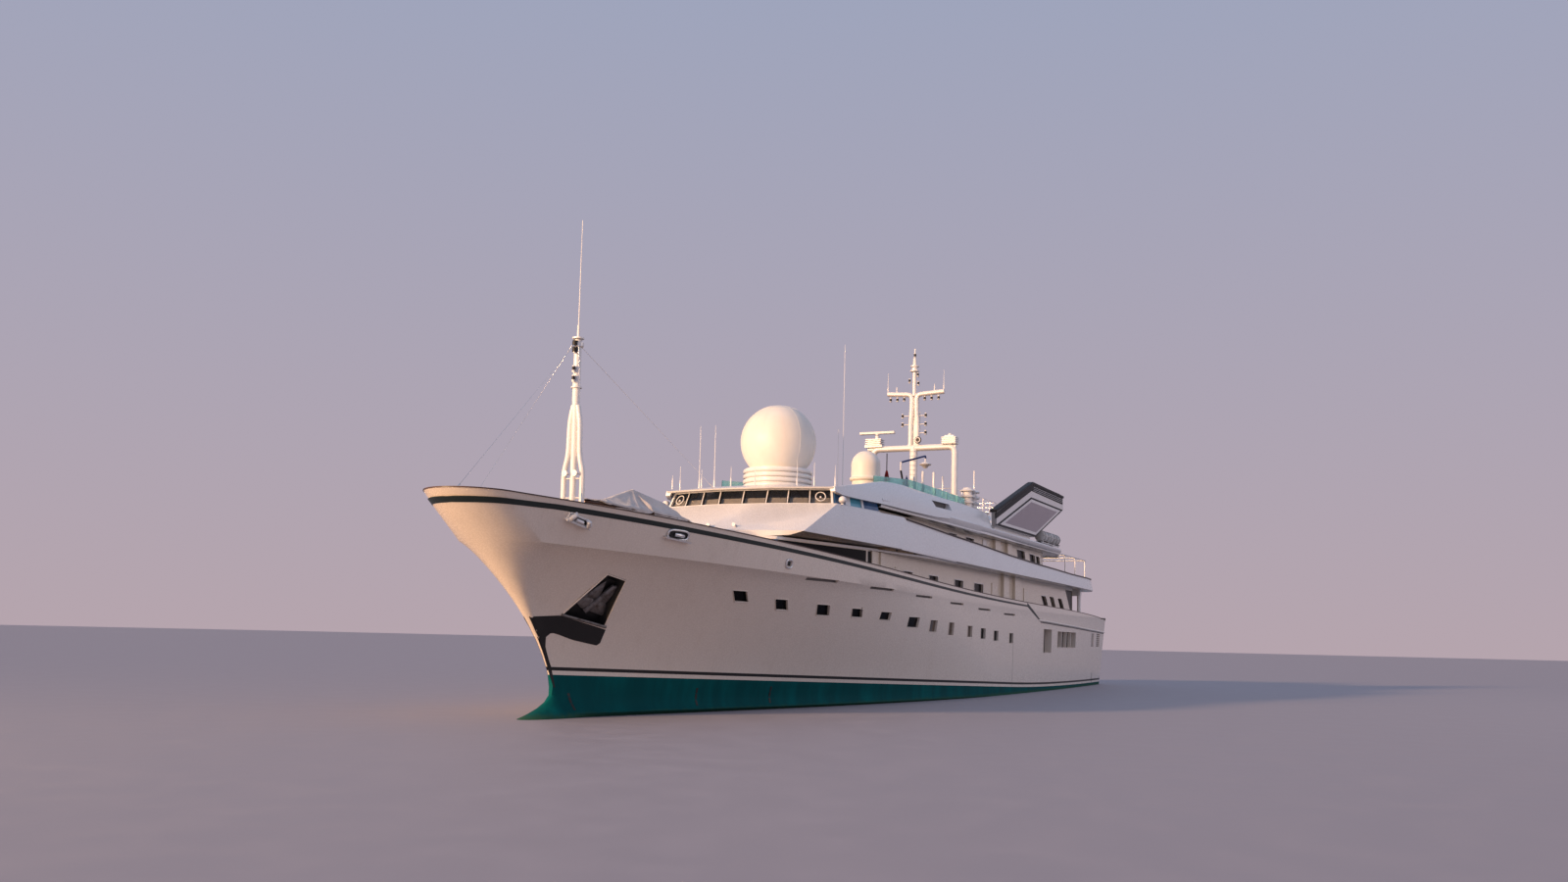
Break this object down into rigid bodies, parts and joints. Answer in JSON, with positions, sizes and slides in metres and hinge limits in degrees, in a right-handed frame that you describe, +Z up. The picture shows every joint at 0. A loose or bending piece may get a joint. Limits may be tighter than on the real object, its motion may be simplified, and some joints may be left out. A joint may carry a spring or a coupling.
{
  "type": "motor yacht, 1:10 scale model",
  "caption": "Scale model of a long white motor yacht with a raked bow, bulb, two superstructure decks, radome, lattice of masts, canted funnels and twin screws.",
  "frame": {"origin": "on the centreline, amidships, at the waterline", "axes": "+X towards the bow, +Y to port, +Z up"},
  "size_m": [8.5732, 1.355, 2.85],
  "materials": {
    "hull_paint": "gloss marine paint with green sheer stripe, black boot stripe and teal bottom",
    "white_paint": "semi-gloss marine paint",
    "bottom_paint": "matt antifouling",
    "anchor_steel": "galvanised, worn",
    "deck_gear": "brushed stainless",
    "tarp": "coated canvas",
    "wire": "wire rope",
    "joinery": "varnished",
    "tinted_glass": "turquoise tinted",
    "dome_shell": "satin gel coat",
    "raft_shell": "satin gel coat",
    "bronze": "polished bronze, dulled"
  },
  "bodies": {
    "root": {"hull": "hull_paint", "bulwark_bow_port": "hull_paint", "bulwark_bow_starboard": "hull_paint", "bulwark_shoulder_port": "hull_paint", "bulwark_shoulder_starboard": "hull_paint", "bulwark_waist_port": "hull_paint", "bulwark_waist_starboard": "hull_paint", "bulwark_quarter_port": "hull_paint", "bulwark_quarter_starboard": "hull_paint", "bulwark_stern": "hull_paint", "anchor_port": "anchor_steel", "anchor_starboard": "anchor_steel", "windlass": "deck_gear", "covered_tender": "tarp", "foremast_stays": "wire", "foremast": "white_paint", "main_deckhouse": "white_paint", "upper_deck": "white_paint", "wheelhouse": "white_paint", "upper_deckhouse": "white_paint", "sun_deck": "white_paint", "main_mast": "white_paint", "radar_unit": "white_paint", "casing": "white_paint", "aft_columns": "white_paint", "sun_deck_screen_port": "white_paint", "sun_deck_screen_starboard": "white_paint", "funnel_port": "white_paint", "funnel_starboard": "white_paint", "ventilators_port": "white_paint", "ventilators_starboard": "white_paint", "bridge_console": "joinery", "windbreak_port": "tinted_glass", "windbreak_starboard": "tinted_glass", "dome_collar": "dome_shell", "big_dome": "dome_shell", "small_dome": "dome_shell", "life_rafts_port": "raft_shell", "life_rafts_starboard": "raft_shell", "awning_frame": "deck_gear", "shaft_port": "bronze", "shaft_starboard": "bronze"},
    "radar_scanner": {"radar_scanner": "white_paint"},
    "stern_door": {"stern_door": "hull_paint"},
    "wheelhouse_door_port": {"wheelhouse_door_port": "white_paint"},
    "wheelhouse_door_starboard": {"wheelhouse_door_starboard": "white_paint"},
    "propeller_port": {"propeller_port": "bronze"},
    "propeller_starboard": {"propeller_starboard": "bronze"},
    "rudder_port": {"rudder_port": "bottom_paint"},
    "rudder_starboard": {"rudder_starboard": "bottom_paint"},
    "stabiliser_fin_port": {"stabiliser_fin_port": "bottom_paint"},
    "stabiliser_fin_starboard": {"stabiliser_fin_starboard": "bottom_paint"}
  },
  "joints": [
    {"name": "propeller_port_spin", "type": "hinge", "parent": "root", "child": "propeller_port", "pos_m": [-3.74, 0.24, -0.375], "axis": [1, 0, 0], "continuous": true},
    {"name": "propeller_starboard_spin", "type": "hinge", "parent": "root", "child": "propeller_starboard", "pos_m": [-3.74, -0.24, -0.375], "axis": [1, 0, 0], "continuous": true},
    {"name": "rudder_port_turn", "type": "hinge", "parent": "root", "child": "rudder_port", "pos_m": [-4.06, 0.24, -0.34], "axis": [0, 0, 1], "range_deg": [-35, 35]},
    {"name": "rudder_starboard_turn", "type": "hinge", "parent": "root", "child": "rudder_starboard", "pos_m": [-4.06, -0.24, -0.34], "axis": [0, 0, 1], "range_deg": [-35, 35]},
    {"name": "radar_spin", "type": "hinge", "parent": "root", "child": "radar_scanner", "pos_m": [-0.765, -0.27, 1.78], "axis": [0, 0, 1], "continuous": true},
    {"name": "wheelhouse_door_port_swing", "type": "hinge", "parent": "root", "child": "wheelhouse_door_port", "pos_m": [1.2876, 0.533, 0.936], "axis": [0, 0, -1], "range_deg": [0, 90]},
    {"name": "wheelhouse_door_starboard_swing", "type": "hinge", "parent": "root", "child": "wheelhouse_door_starboard", "pos_m": [1.2876, -0.533, 0.936], "axis": [0, 0, 1], "range_deg": [0, 90]},
    {"name": "stern_door_drop", "type": "hinge", "parent": "root", "child": "stern_door", "pos_m": [-4.2834, 0, 0.09], "axis": [0, -1, 0], "range_deg": [0, 81]},
    {"name": "stabiliser_port_tilt", "type": "hinge", "parent": "root", "child": "stabiliser_fin_port", "pos_m": [0.45, 0.515, -0.355], "axis": [0, 0.8192, -0.5736], "range_deg": [-20, 20]},
    {"name": "stabiliser_starboard_tilt", "type": "hinge", "parent": "root", "child": "stabiliser_fin_starboard", "pos_m": [0.45, -0.515, -0.355], "axis": [0, -0.8192, -0.5736], "range_deg": [-20, 20]}
  ]
}
